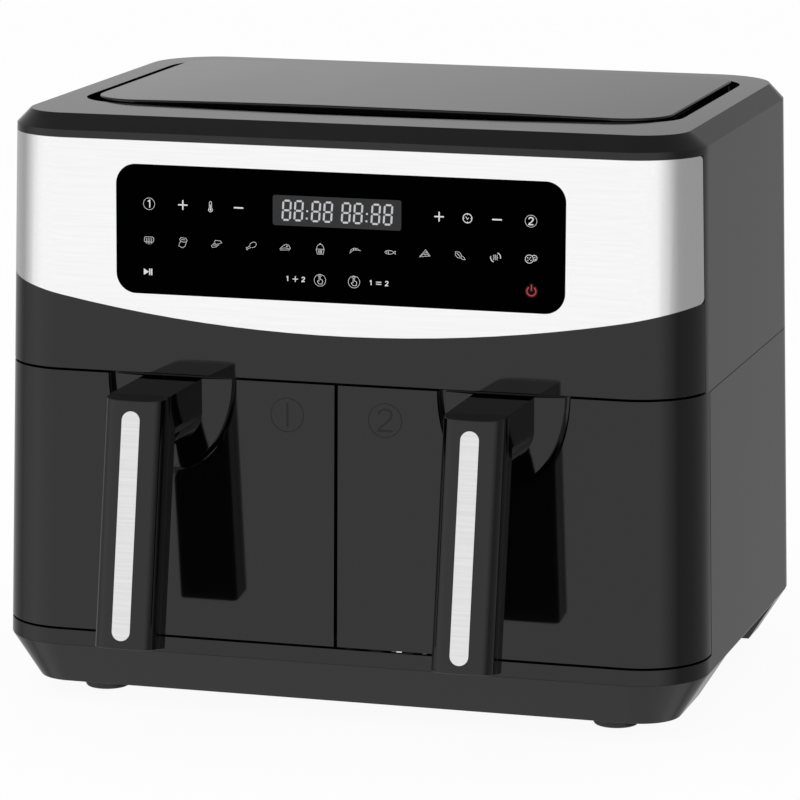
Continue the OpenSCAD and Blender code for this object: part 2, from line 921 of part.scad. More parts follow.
// Space that one drawer front takes, drawn in by t on every side but the rear
module drawer_space(t) {
  intersection() {
    band(drawer_z0 + t, drawer_z1 - t, t, t);
    translate([drawer_x0 + t, face_y - 20, base_top_z])
      cube([body_w, drawer_wrap + 20 + t, drawer_h]);
  }
}

// Half-round seat of the handle, grown all round and once more downwards
module pocket_shape(grow, down = 0, top = over) {
  translate([handle_x, 0])
    polygon(concat(
      [[foot_plate_a + grow, top], [-foot_plate_a - grow, top]],
      half_oval(foot_plate_a + grow, foot_plate_b + grow + down)
    ));
}

bevel_lead = 0.6;
bevel_down = foot_bevel - foot_bevel_side;
bevel_grow = (foot_bevel_t + bevel_lead) / foot_bevel_t;

module drawer_front() {
  color("#38393b")
    difference() {
      drawer_space(0);
      // Hollow, except for the backing of the handle's seat
      difference() {
        drawer_space(wall);
        into_front(-1, foot_pocket + wall)
          pocket_shape(foot_groove + foot_bevel);
      }
      // Open over the pan
      translate([-over, pan_y0, base_top_z - over])
        cube([chamber_x + chamber_w / 2 + 2 * over, body_d, drawer_h + 2 * over]);
      into_front(-1, foot_pocket)
        pocket_shape(foot_groove);
      hull() {
        into_front(-bevel_lead, 0.1 - bevel_lead)
          pocket_shape(foot_groove + bevel_grow * foot_bevel_side, bevel_grow * bevel_down);
        into_front(foot_bevel_t - 0.1, foot_bevel_t)
          pocket_shape(foot_groove + 0.1);
      }
      // Fine ring round the number badge
      into_front(-1, 0.5)
        translate([badge_x, -badge_drop])
          difference() {
            circle(d = badge_d, $fn = 72);
            circle(d = badge_d - 0.9, $fn = 72);
          }
      for (z = screw_rows)
        into_front(0, 20)
          translate([handle_x, z])
            circle(d = screw_bore, $fn = 24);
    }
}

module drawer_inner() {
  inner_y = pan_y0 - inner_t;
  x0 = drawer_x0 + wall + slip;
  x1 = chamber_x + chamber_w / 2 - 2;
  z0 = drawer_z0 + wall + slip;
  z1 = drawer_z1 - wall - slip;
  color("#2b2c2e")
    difference() {
      union() {
        translate([x0, inner_y, z0])
          cube([x1 - x0, inner_t, z1 - z0]);
        // Posts forward to the handle's seat
        for (z = screw_rows)
          on_front()
            translate([handle_x, foot_pocket + wall, z])
              rotate([-90, 0, 0])
                cylinder(r = 6, h = pan_back - foot_pocket - wall - inner_t / 2, $fn = 32);
        // Shelf under the front of the pan
        translate([chamber_x - 50, inner_y, pan_z - 3])
          cube([100, inner_t + 14, 2.9]);
      }
      for (z = screw_rows)
        on_front()
          translate([handle_x, 0, z])
            rotate([-90, 0, 0]) {
              cylinder(d = screw_bore, h = 60, $fn = 24);
              translate([0, 0, pan_back - inner_t - 4])
                cylinder(r = 4.2, h = 60, $fn = 24);
            }
    }
}

module pan() {
  color("#2a2a2b") {
    difference() {
      translate([chamber_x, pan_mid_y, pan_z])
        linear_extrude(height = pan_h)
          rounded(pan_w, pan_d, pan_r);
      translate([chamber_x, pan_mid_y, pan_z + pan_wall])
        linear_extrude(height = pan_h)
          rounded(pan_w - 2 * pan_wall, pan_d - 2 * pan_wall, pan_r - pan_wall);
    }
    // Rolled rim
    difference() {
      translate([chamber_x, pan_mid_y, pan_z + pan_h - 3])
        linear_extrude(height = 3)
          rounded(pan_w + 3, pan_d - thin, pan_r + 1);
      translate([chamber_x, pan_mid_y, pan_z + pan_h - 4])
        linear_extrude(height = 5)
          rounded(pan_w - 1, pan_d - 1, pan_r - 0.5);
    }
  }
}

module crisper() {
  color("#2f2f30") {
    difference() {
      translate([chamber_x, pan_mid_y, crisper_z])
        linear_extrude(height = crisper_t)
          rounded(crisper_w, crisper_d, pan_r - pan_wall - 2);
      for (i = [-3 : 3], j = [-5 : 5])
        if (abs(i) + abs(j) > 1)
          translate([chamber_x + i * hole_step_x, pan_mid_y + j * hole_step_y, crisper_z - 1])
            cylinder(d = crisper_hole, h = crisper_t + 2, $fn = 24);
    }
    for (x = [-1, 1], y = [-1, 1])
      translate([chamber_x + x * (crisper_w / 2 - 6), pan_mid_y + y * 3.5 * hole_step_y, pan_z + pan_wall])
        cylinder(r = 4, h = crisper_lift + crisper_t / 2, $fn = 32);
    // Finger loop
    translate([chamber_x, pan_mid_y, crisper_z + crisper_t / 2])
      rotate([90, 0, 0])
        rotate_extrude(angle = 180, $fn = 64)
          translate([13, 0])
            circle(r = 2.2, $fn = 24);
  }
}

module crisper_pads() {
  reach_x = pan_w / 2 - pan_wall - slip - pad_t / 2;
  reach_y = pan_d / 2 - pan_wall - slip - pad_t / 2;
  color("#1c1c1d") {
    for (x = [-1, 1], y = [-1, 1])
      translate([chamber_x + x * reach_x, pan_mid_y + y * 0.3 * crisper_d, crisper_z + crisper_t / 2])
        pad(x);
    for (x = [-1, 1], y = [-1, 1])
      translate([chamber_x + x * 0.3 * crisper_w, pan_mid_y + y * reach_y, crisper_z + crisper_t / 2])
        rotate([0, 0, 90])
          pad(y);
  }
}

// A bumper that grips the plate's edge, its back towards the pan on the side way
module pad(way) {
  grip = pad_t - 2 + slip;
  difference() {
    cube([pad_t, pad_len, pad_h], center = true);
    translate([-way * pad_t / 2, 0, 0])
      cube([2 * grip, pad_len + 1, crisper_t], center = true);
  }
}

// ---------------------------------------------------------------- handles

grip_over = 8;
foot_top = -2;
foot_crown = 4;

module grip_frame() {
  translate([handle_x, face_y - grip_reach, seam_z - arm_drop])
    rotate([-grip_tilt, 0, 0])
      children();
}

// Points on a circle from one angle to another, skip of them left out at each end
function turn(cx, cy, r, a0, a1, n, skip = 0) = [
  for (i = [skip : n - skip])
    let (a = a0 + (a1 - a0) * i / n)
      [cx + r * cos(a), cy + r * sin(a)]
];

bulge_r = (pow(grip_w / 2, 2) + pow(grip_bulge, 2)) / (2 * grip_bulge);
grip_in = grip_w / 2 - grip_r;
grip_rear_in = grip_w / 2 - grip_rear_r;
bulge_a = asin(grip_in / (bulge_r - grip_r));
grip_corner_y = bulge_r - (bulge_r - grip_r) * cos(bulge_a);

// Plan of the grip between two depths behind its front, which bulges between its round edges
module grip_plan(y0, y1) {
  intersection() {
    translate([-grip_w, y0])
      square([2 * grip_w, y1 - y0]);
    polygon(concat(
      turn(grip_rear_in, grip_t - grip_rear_r, grip_rear_r, 0, 90, 8),
      turn(-grip_rear_in, grip_t - grip_rear_r, grip_rear_r, 90, 180, 8),
      turn(-grip_in, grip_corner_y, grip_r, 180, 270 - bulge_a, 12),
      turn(0, bulge_r, bulge_r, 270 - bulge_a, 270 + bulge_a, 16, 1),
      turn(grip_in, grip_corner_y, grip_r, 270 + bulge_a, 360, 12)
    ));
  }
}

// Room over the arm: level, then sloping down to the front
module over_arm() {
  translate([handle_x - 2 * grip_w, face_y - body_d, seam_z - arm_drop])
    cube([4 * grip_w, 2 * body_d, arm_h]);
  translate([handle_x - 2 * grip_w, face_y - arm_flat, seam_z - arm_drop])
    rotate([arm_slope, 0, 0])
      translate([0, -grip_reach, 0])
        cube([4 * grip_w, grip_reach, arm_h]);
}

module handle() {
  color("#242527")
    difference() {
      union() {
        // Foot plate
        hull()
          for (k = [0, 1])
            into_front(foot_top + foot_dome * (1 - k), foot_pocket)
              pocket_shape(-k * (foot_plate_a - foot_crown));
        // Arm with a round underside
        translate([handle_x, face_y + foot_pocket - 1, seam_z - arm_drop])
          rotate([90, 0, 0])
            linear_extrude(height = grip_reach + foot_pocket - 1 - cover_t - 2) {
              translate([-grip_w / 2, -arm_h + grip_w / 2])
                square([grip_w, arm_h - grip_w / 2]);
              translate([0, -arm_h + grip_w / 2])
                circle(d = grip_w, $fn = 72);
            }
        grip_frame()
          translate([0, 0, -grip_len])
            linear_extrude(height = grip_len + grip_over)
              grip_plan(cover_t, grip_t);
      }
      over_arm();
      // Keep the arm behind the front shell
      grip_frame()
        translate([-grip_w, -grip_reach, -grip_len])
          cube([2 * grip_w, grip_reach + cover_t, 2 * grip_len]);
      for (z = screw_rows)
        on_front()
          translate([handle_x, 0, z])
            rotate([-90, 0, 0])
              translate([0, 0, -14])
                cylinder(r = 1.6, h = 30, $fn = 24);
    }
}

module grip_cover() {
  color("#3a3b3d")
    difference() {
      grip_frame()
        translate([0, 0, -grip_len])
          linear_extrude(height = grip_len + grip_over)
            grip_plan(0, cover_t - 0.1);
      over_arm();
      grip_frame()
        strip_shape(strip_t, 0.05);
    }
}

// Stadium of the inlay, standing in the front of the grip
module strip_shape(depth, grow) {
  translate([0, depth, -grip_len / 2 - strip_drop])
    rotate([90, 0, 0])
      linear_extrude(height = grow > 0 ? depth + 1 : depth - 0.1)
        rounded(strip_w + 2 * grow, strip_len + 2 * grow, strip_w / 2 + grow - thin);
}

module grip_strip() {
  color("#dfe0e1")
    grip_frame()
      strip_shape(strip_t, 0);
}

module handle_screws() {
  color("#8d8f92")
    for (z = screw_rows)
      on_front()
        translate([handle_x, 0, z])
          rotate([-90, 0, 0]) {
            translate([0, 0, -10])
              cylinder(r = 1.5, h = pan_back - inner_t - 4 + 10, $fn = 24);
            translate([0, 0, pan_back - inner_t - 4])
              cylinder(r = 3.6, h = 2.4, $fn = 24);
          }
}

// ---------------------------------------------------------------- nodes

base_tray();
feet();
lower_housing();
upper_housing();
top_cover();
top_plate();
front_fascia();
steel_front();
control_glass();
display_module();
control_board();
control_frame();
deck();
power_board();
rear_cover();
cord_gland();
case_screws();

side(-1) chamber();  // chamber_left
side(-1) glides();  // glides_left
side(-1) heater();  // heater_left
side(-1) heater_guard();  // heater_guard_left
side(-1) motor();  // motor_left
side(-1) sensor();  // sensor_left
side(-1) switch_box();  // switch_left
side(-1) hot_wheel();  // hot_wheel_left
side(-1) cool_wheel();  // cool_wheel_left
side(-1) shaft();  // shaft_left
side(-1) drawer_front();  // drawer_front_left
side(-1) drawer_inner();  // drawer_inner_left
side(-1) pan();  // pan_left
side(-1) handle();  // handle_left
side(-1) grip_cover();  // grip_cover_left
side(-1) grip_strip();  // grip_strip_left
side(-1) handle_screws();  // handle_screws_left
side(-1) crisper();  // crisper_left
side(-1) crisper_pads();  // crisper_pads_left

side(1) chamber();  // chamber_right
side(1) glides();  // glides_right
side(1) heater();  // heater_right
side(1) heater_guard();  // heater_guard_right
side(1) motor();  // motor_right
side(1) sensor();  // sensor_right
side(1) switch_box();  // switch_right
side(1) hot_wheel();  // hot_wheel_right
side(1) cool_wheel();  // cool_wheel_right
side(1) shaft();  // shaft_right
side(1) drawer_front();  // drawer_front_right
side(1) drawer_inner();  // drawer_inner_right
side(1) pan();  // pan_right
side(1) handle();  // handle_right
side(1) grip_cover();  // grip_cover_right
side(1) grip_strip();  // grip_strip_right
side(1) handle_screws();  // handle_screws_right
side(1) crisper();  // crisper_right
side(1) crisper_pads();  // crisper_pads_right
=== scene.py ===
import json
import math

import bmesh
import bpy
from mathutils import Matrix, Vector

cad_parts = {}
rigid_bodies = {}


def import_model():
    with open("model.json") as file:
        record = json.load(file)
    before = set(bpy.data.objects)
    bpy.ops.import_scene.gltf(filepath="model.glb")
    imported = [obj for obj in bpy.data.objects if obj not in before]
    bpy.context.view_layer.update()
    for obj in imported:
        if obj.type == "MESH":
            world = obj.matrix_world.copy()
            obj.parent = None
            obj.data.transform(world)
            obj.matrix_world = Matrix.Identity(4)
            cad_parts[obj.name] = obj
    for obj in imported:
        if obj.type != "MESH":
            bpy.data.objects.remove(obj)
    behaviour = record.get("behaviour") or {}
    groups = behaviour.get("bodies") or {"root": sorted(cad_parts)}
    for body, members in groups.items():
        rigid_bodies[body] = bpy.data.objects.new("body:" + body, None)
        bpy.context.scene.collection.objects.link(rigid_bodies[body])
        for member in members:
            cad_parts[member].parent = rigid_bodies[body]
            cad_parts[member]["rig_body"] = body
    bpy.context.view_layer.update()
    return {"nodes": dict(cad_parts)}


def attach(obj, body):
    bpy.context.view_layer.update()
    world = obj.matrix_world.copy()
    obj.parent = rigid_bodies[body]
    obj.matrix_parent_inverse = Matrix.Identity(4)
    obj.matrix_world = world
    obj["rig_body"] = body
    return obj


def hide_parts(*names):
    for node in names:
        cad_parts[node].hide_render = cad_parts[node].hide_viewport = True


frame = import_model()
NODES = frame["nodes"]
MM = 0.001
SIDES = ("left", "right")

# ------------------------------------------------------------ sizes shared with the construction, in mm

DRAFT = math.radians(1.12)  # how far the front leans back
FACE_Y = -140.0             # the front at the height of the seam
SEAM_Z = 183.5              # the seam over the drawers
GLASS_MID = 77.9            # middle of the glass over the seam
GLASS_FACE = 0.15           # how far the glass stands proud
BADGE_X = 27.0              # middle of a badge from the middle of the body
BADGE_DROP = 17.8           # middle of a badge under the seam

# ------------------------------------------------------------ camera, in metres

CAMERA_PLACE = (0.69521, -2.39318, 0.64524)
CAMERA_TARGET = (-0.005936, 0.0, 0.14803)
CAMERA_LENS = 205.16      # focal length in mm on a sensor 36 mm wide

camera_data = bpy.data.cameras.new("camera")
camera = bpy.data.objects.new("camera", camera_data)
bpy.context.scene.collection.objects.link(camera)
camera_data.sensor_width = 36.0
camera_data.lens = CAMERA_LENS
camera_data.clip_start = 0.05
camera_data.clip_end = 50.0
camera.location = CAMERA_PLACE
aim = Vector(CAMERA_TARGET) - camera.location
camera.rotation_euler = aim.to_track_quat("-Z", "Y").to_euler()
bpy.context.scene.camera = camera

# ------------------------------------------------------------ material helpers

NOISE_LOW, NOISE_HIGH = 0.3, 0.7   # nearly all of a noise lies between these


class Material:
    """A Principled material with a few procedural inputs."""

    def __init__(self, name, rough, metallic=0.0, specular=0.5):
        self.data = bpy.data.materials.new(name)
        self.data.use_nodes = True
        self.tree = self.data.node_tree
        self.shader = self.tree.nodes["Principled BSDF"]
        self.shader.inputs["Roughness"].default_value = rough
        self.shader.inputs["Metallic"].default_value = metallic
        self.shader.inputs["IOR"].default_value = 1.5
        self.shader.inputs["Specular IOR Level"].default_value = specular
        self.coords = self.node("ShaderNodeTexCoord").outputs["Object"]

    def node(self, kind, **values):
        made = self.tree.nodes.new(kind)
        for key, value in values.items():
            setattr(made, key, value)
        return made

    def link(self, source, target):
        self.tree.links.new(source, target)

    def stretched(self, scale):
        mapping = self.node("ShaderNodeMapping")
        mapping.inputs["Scale"].default_value = scale
        self.link(self.coords, mapping.inputs["Vector"])
        return mapping.outputs["Vector"]

    def noise(self, scale, detail=3.0, stretch=None, roughness=0.5):
        made = self.node("ShaderNodeTexNoise")
        made.inputs["Scale"].default_value = scale
        made.inputs["Detail"].default_value = detail
        made.inputs["Roughness"].default_value = roughness
        self.link(self.stretched(stretch) if stretch else self.coords, made.inputs["Vector"])
        return made.outputs["Fac"]

    def cells(self, scale):
        made = self.node("ShaderNodeTexVoronoi")
        made.inputs["Scale"].default_value = scale
        self.link(self.coords, made.inputs["Vector"])
        return made.outputs["Color"]

    def spread(self, value, low, high):
        """The noise, stretched to run from low to high."""
        made = self.node("ShaderNodeMapRange")
        made.inputs["From Min"].default_value = NOISE_LOW
        made.inputs["From Max"].default_value = NOISE_HIGH
        made.inputs["To Min"].default_value = low
        made.inputs["To Max"].default_value = high
        self.link(value, made.inputs["Value"])
        return made.outputs["Result"]

    def colour(self, value, low, high):
        ramp = self.node("ShaderNodeValToRGB")
        ramp.color_ramp.elements[0].position = NOISE_LOW
        ramp.color_ramp.elements[1].position = NOISE_HIGH
        ramp.color_ramp.elements[0].color = (*low, 1)
        ramp.color_ramp.elements[1].color = (*high, 1)
        self.link(value, ramp.inputs["Fac"])
        self.link(ramp.outputs["Color"], self.shader.inputs["Base Color"])

    def roughness(self, value, low, high):
        self.link(self.spread(value, low, high), self.shader.inputs["Roughness"])

    def bump(self, *layers):
        """Each layer is a height and the depth in metres that it spans."""
        normal = None
        for height, depth in layers:
            made = self.node("ShaderNodeBump")
            made.inputs["Strength"].default_value = 1.0
            made.inputs["Distance"].default_value = depth
            self.link(height, made.inputs["Height"])
            if normal:
                self.link(normal, made.inputs["Normal"])
            normal = made.outputs["Normal"]
        self.link(normal, self.shader.inputs["Normal"])


def grey(value):
    return (value, value, value)


# In these materials low and high are the ends of the colour, and the depths of bumps are in metres.


def moulded(name, low, high, rough, grain, wave, scale=2600.0, gloss=0.465):
    """Injection-moulded plastic: fine grain over a faint long waviness."""
    made = Material(name, rough, specular=gloss)
    fine = made.noise(scale, 2.0)
    broad = made.noise(14.0, 2.0)
    made.colour(made.noise(220.0, 3.0), grey(low), grey(high))
    made.roughness(made.noise(60.0, 4.0), rough * 0.85, rough * 1.15)
    made.bump((broad, wave), (fine, grain))
    return made.data


CHARCOAL = moulded("charcoal_moulding", 0.0016, 0.0024, 0.05, 0.0000003, 0.000012)
CHARCOAL_TOP = moulded("charcoal_top", 0.0020, 0.0030, 0.09, 0.0000005, 0.000003)
BLACK = moulded("black_moulding", 0.0010, 0.0016, 0.06, 0.0000003, 0.000010)
RELIEF = moulded("relief_number", 0.0010, 0.0016, 0.10, 0.0000003, 0.000002, gloss=0.33)
BLACK_MATT = moulded("black_matt_moulding", 0.012, 0.018, 0.45, 0.000012, 0.00003, 1500.0)
NYLON = moulded("white_nylon", 0.60, 0.68, 0.42, 0.000006, 0.00003)
RUBBER = moulded("black_rubber", 0.008, 0.012, 0.34, 0.000006, 0.00002, 1300.0)


def brushed(name, low, high, rough):
    """Metal with fine streaks from side to side."""
    made = Material(name, rough, metallic=1.0)
    streak = made.noise(1.0, 3.0, (60.0, 5200.0, 5200.0), 0.6)
    soft = made.noise(1.0, 2.0, (24.0, 900.0, 900.0), 0.5)
    made.colour(soft, grey(low), grey(high))
    made.roughness(streak, rough * 0.85, rough * 1.15)
    made.bump((streak, 0.0000007))
    made.shader.inputs["Anisotropic"].default_value = 0.4
    return made.data


STEEL = brushed("brushed_steel", 0.92, 0.95, 0.20)
INLAY = brushed("brushed_inlay", 0.74, 0.80, 0.22)


def black_glass():
    """The control panel's glass, black and almost without reflections."""
    made = Material("black_glass", 0.04, specular=0.0)
    broad = made.noise(9.0, 1.0)
    made.colour(broad, grey(0.0002), grey(0.0004))
    made.roughness(made.noise(40.0), 0.03, 0.05)
    made.bump((broad, 0.00001))
    return made.data


def plain_print(name, colour, glow):
    """Screen print or lit symbol behind the glass, with a slightly uneven edge tone."""
    rough = 0.5
    made = Material(name, rough, specular=0.1)
    tone = made.noise(900.0, 2.0)
    made.colour(tone, tuple(0.92 * c for c in colour), colour)
    made.roughness(tone, rough * 0.9, rough * 1.1)
    made.bump((tone, 0.000002))
    # The glow is the lamp's own light on lit symbols; on screen print it is painted light.
    made.shader.inputs["Emission Color"].default_value = (*colour, 1)
    made.shader.inputs["Emission Strength"].default_value = glow
    return made.data


GLASS = black_glass()
# The white print's faint glow is painted light, as screen print gives no light of its own.
PRINT = plain_print("white_print_painted_glow", (0.80, 0.80, 0.80), 0.12)
DIGITS = plain_print("lit_digits", (0.56, 0.57, 0.58), 0.15)
WINDOW = plain_print("display_window", (0.038, 0.038, 0.040), 0.0)
RED = plain_print("red_symbol", (0.34, 0.06, 0.075), 0.35)
BLOOM = plain_print("red_bloom", (0.060, 0.002, 0.004), 0.35)
GLOW = plain_print("red_glow", (0.018, 0.0004, 0.0008), 0.35)


def sheet_metal(name, low, high, rough, spangle):
    """Plated or rolled metal; spangle is the fineness of its patches."""
    made = Material(name, rough, metallic=1.0)
    cells = made.cells(spangle)
    made.colour(cells, grey(low), grey(high))
    made.roughness(made.noise(180.0, 4.0), rough * 0.8, rough * 1.25)
    made.bump((made.noise(700.0), 0.000008))
    return made.data


PLATED = sheet_metal("aluminised_sheet", 0.42, 0.52, 0.34, 160.0)
ZINC = sheet_metal("zinc_plate", 0.46, 0.56, 0.28, 420.0)
WIRE = sheet_metal("nickel_wire", 0.60, 0.68, 0.20, 500.0)
ALU = sheet_metal("stamped_aluminium", 0.62, 0.72, 0.32, 260.0)


def coated(name):
    """Dark non-stick coating with a fine mineral speckle."""
    made = Material(name, 0.38)
    speckle = made.noise(1500.0, 3.0)
    made.colour(speckle, grey(0.008), grey(0.022))
    made.roughness(made.noise(400.0), 0.30, 0.44)
    made.bump((speckle, 0.00001))
    return made.data


def heating_tube():
    """The heating coil's sheath, browned by heat."""
    made = Material("oxidised_tube", 0.46, metallic=0.9)
    tone = made.noise(220.0, 5.0)
    made.colour(tone, (0.075, 0.062, 0.055), (0.17, 0.15, 0.14))
    made.roughness(tone, 0.38, 0.55)
    made.bump((made.noise(1600.0), 0.00001))
    return made.data


def circuit_board(name, low, high):
    """Laminate with copper tracks under the solder mask."""
    made = Material(name, 0.3)
    tracks = made.node("ShaderNodeTexBrick")
    tracks.inputs["Scale"].default_value = 90.0
    tracks.inputs["Mortar Size"].default_value = 0.03
    tracks.inputs["Color1"].default_value = (*low, 1)
    tracks.inputs["Color2"].default_value = (*(c * 0.9 for c in low), 1)
    tracks.inputs["Mortar"].default_value = (*high, 1)
    made.link(made.coords, tracks.inputs["Vector"])
    made.link(tracks.outputs["Color"], made.shader.inputs["Base Color"])
    made.roughness(made.noise(300.0), 0.25, 0.38)
    made.bump((tracks.outputs["Fac"], 0.00003))
    return made.data


PAN_COAT = coated("non_stick_coating")
TUBE = heating_tube()
BOARD = circuit_board("control_laminate", (0.012, 0.10, 0.035), (0.05, 0.22, 0.09))
POWER = circuit_board("power_laminate", (0.40, 0.20, 0.07), (0.55, 0.33, 0.14))

# ------------------------------------------------------------ carried-over solids, with broken edges


def plain(node, material):
    """A CAD node that keeps its own mesh and gets a finished material."""
    obj = NODES[node]
    obj.data.materials.clear()
    obj.data.materials.append(material)
    for face in obj.data.polygons:
        face.material_index = 0
    return obj


WELD = 0.000004           # corners closer than this, in metres, are one
SLIVER = 0.00003          # edges shorter than this, in metres, go
FLAT = 0.4                # faces that meet at less than this many degrees are one face
EDGE_TURN = 32.0          # edges that turn by more than this many degrees are broken


def clean_copy(node):
    """The node's mesh, welded and freed of slivers and flat splits."""
    mesh = bmesh.new()
    mesh.from_mesh(NODES[node].data)
    bmesh.ops.remove_doubles(mesh, verts=mesh.verts, dist=WELD)
    bmesh.ops.dissolve_degenerate(mesh, edges=mesh.edges, dist=SLIVER)
    bmesh.ops.dissolve_limit(mesh, angle_limit=math.radians(FLAT), verts=mesh.verts, edges=mesh.edges)
    bmesh.ops.recalc_face_normals(mesh, faces=mesh.faces)
    return mesh


def as_object(name, mesh, material, smooth=True):
    """The mesh as an object of the scene, in one material."""
    data = bpy.data.meshes.new(name)
    mesh.to_mesh(data)
    mesh.free()
    data.materials.append(material)
    for face in data.polygons:
        face.use_smooth = smooth
        face.material_index = 0
    obj = bpy.data.objects.new(name, data)
    bpy.context.scene.collection.objects.link(obj)
    return obj


def dress(node, material, width):
    """A copy of the node with rounded edges, width mm wide, which is shown in its place."""
    obj = as_object(node + "_skin", clean_copy(node), material)
    bevel = obj.modifiers.new("edges", "BEVEL")
    bevel.width = width * MM
    bevel.segments = 2
    bevel.limit_method = "ANGLE"
    bevel.angle_limit = math.radians(EDGE_TURN)
    bevel.miter_outer = "MITER_ARC"
    bevel.use_clamp_overlap = True
    weigh = obj.modifiers.new("normals", "WEIGHTED_NORMAL")
    weigh.weight = 80
    weigh.keep_sharp = False
    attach(obj, NODES[node]["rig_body"])
    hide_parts(node)
    return obj


# Nodes shown with broken edges, each with the width of its edges in mm, and nodes shown as they are
DRESSED = [
    ("base_tray", CHARCOAL, 0.8), ("lower_housing", CHARCOAL, 0.5), ("upper_housing", CHARCOAL, 0.5),
    ("top_cover", CHARCOAL_TOP, 0.8), ("top_plate", CHARCOAL_TOP, 0.8), ("front_fascia", CHARCOAL, 0.3),
    ("steel_front", STEEL, 0.25), ("control_glass", GLASS, 0.25), ("feet", RUBBER, 0.4),
    ("rear_cover", BLACK_MATT, 0.8), ("cord_gland", BLACK_MATT, 0.5),
]
PLAIN = [
    ("display_module", WINDOW), ("control_board", BOARD), ("control_frame", NYLON), ("deck", PLATED),
    ("power_board", POWER), ("case_screws", ZINC),
]
for side in SIDES:
    DRESSED += [
        ("drawer_front_" + side, CHARCOAL, 0.7), ("handle_" + side, BLACK, 1.2),
        ("grip_cover_" + side, BLACK, 0.7), ("grip_strip_" + side, INLAY, 0.25),
        ("pan_" + side, PAN_COAT, 0.4),
    ]
    PLAIN += [
        ("chamber_" + side, PLATED), ("glides_" + side, NYLON), ("heater_" + side, TUBE),
        ("heater_guard_" + side, WIRE), ("motor_" + side, ZINC), ("sensor_" + side, WIRE),
        ("switch_" + side, BLACK_MATT), ("hot_wheel_" + side, ALU), ("cool_wheel_" + side, BLACK_MATT),
        ("shaft_" + side, ZINC), ("drawer_inner_" + side, BLACK_MATT), ("handle_screws_" + side, ZINC),
        ("crisper_" + side, PAN_COAT), ("crisper_pads_" + side, RUBBER),
    ]
for node, material, width in DRESSED:
    dress(node, material, width)
for node, material in PLAIN:
    plain(node, material)

# ------------------------------------------------------------ symbols on the glass


def front_point(x, up, proud):
    """A point on the drafted front: x across, up over the seam, proud of the face, all in mm."""
    y = FACE_Y - proud * math.cos(DRAFT) + up * math.sin(DRAFT)
    z = SEAM_Z + proud * math.sin(DRAFT) + up * math.cos(DRAFT)
    return Vector((x * MM, y * MM, z * MM))


class Artwork:
    """Flat shapes of a little thickness that lie on the drafted front."""

    def __init__(self, base_x, base_up, proud, thick):
        self.mesh = bmesh.new()
        self.base_x, self.base_up, self.proud, self.thick = base_x, base_up, proud, thick

    def polygon(self, points):
        area = sum(a[0] * b[1] - b[0] * a[1] for a, b in zip(points, points[1:] + points[:1]))
        if area < 0:
            points = points[::-1]
        rings = []
        for depth in (self.proud, self.proud + self.thick):
            rings.append([self.mesh.verts.new(front_point(self.base_x + x, self.base_up + y, depth))
                          for x, y in points])
        low, high = rings
        self.mesh.faces.new(high)
        self.mesh.faces.new(low[::-1])
        for i in range(len(points)):
            j = (i + 1) % len(points)
            self.mesh.faces.new((low[i], low[j], high[j], high[i]))

    def bar(self, a, b, width):
        """A straight stroke with round ends."""
        (x0, y0), (x1, y1) = a, b
        turn = math.atan2(y1 - y0, x1 - x0)
        points = []
        for (cx, cy), start in (((x1, y1), turn - math.pi / 2), ((x0, y0), turn + math.pi / 2)):
            for i in range(7):
                angle = start + math.pi * i / 6
                points.append((cx + width / 2 * math.cos(angle), cy + width / 2 * math.sin(angle)))
        self.polygon(points)

    def line(self, points, width, closed=False):
        """A stroke of even width along the points."""
        points = [Vector(p) for p in points]
        count = len(points)
        left, right = [], []
        for i, point in enumerate(points):
            before = points[i - 1] if (i or closed) else None
            after = points[(i + 1) % count] if (i < count - 1 or closed) else None
            d1 = (point - before).normalized() if before is not None else (after - point).normalized()
            d2 = (after - point).normalized() if after is not None else d1
            middle = (d1 + d2).normalized() if (d1 + d2).length > 1e-6 else d1
            reach = width / 2 / max(0.45, middle.dot(d1))
            normal = Vector((-middle.y, middle.x)) * reach
            left.append(tuple(point + normal))
            right.append(tuple(point - normal))
        rings = []
        for depth in (self.proud, self.proud + self.thick):
            rings.append([[self.mesh.verts.new(front_point(self.base_x + x, self.base_up + y, depth))
                           for x, y in row] for row in (left, right)])
        (ll, lr), (hl, hr) = rings
        last = count if closed else count - 1
        for i in range(last):
            j = (i + 1) % count
            self.mesh.faces.new((hl[i], hr[i], hr[j], hl[j]))
            self.mesh.faces.new((ll[i], ll[j], lr[j], lr[i]))
            self.mesh.faces.new((ll[i], hl[i], hl[j], ll[j]))
            self.mesh.faces.new((lr[j], hr[j], hr[i], lr[i]))
        if not closed:
            self.mesh.faces.new((ll[0], lr[0], hr[0], hl[0]))
            self.mesh.faces.new((ll[-1], hl[-1], hr[-1], lr[-1]))

    def ring(self, x, y, radius, width, start=0.0, end=360.0, steps=40, squash=1.0, turn=0.0):
        """A circle, an oval or an arc of either, turned about its middle."""
        closed = end - start >= 360.0
        count = steps if closed else steps + 1
        points = []
        for i in range(count):
            angle = math.radians(start + (end - start) * i / steps)
            px, py = radius * math.cos(angle), radius * squash * math.sin(angle)
            t = math.radians(turn)
            points.append((x + px * math.cos(t) - py * math.sin(t), y + px * math.sin(t) + py * math.cos(t)))
        self.line(points, width, closed)

    def disc(self, x, y, radius, steps=20):
        self.polygon([(x + radius * math.cos(2 * math.pi * i / steps),
                       y + radius * math.sin(2 * math.pi * i / steps)) for i in range(steps)])

    def finish(self, name, material, body="housing"):
        """The shapes drawn so far as one piece on a body."""
        bmesh.ops.recalc_face_normals(self.mesh, faces=self.mesh.faces)
        obj = as_object(name, self.mesh, material, smooth=False)
        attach(obj, body)
        return obj


def at(x, y, points, size=1.0):
    """The points of a drawing, moved to its place."""
    return [(x + px * size, y + py * size) for px, py in points]


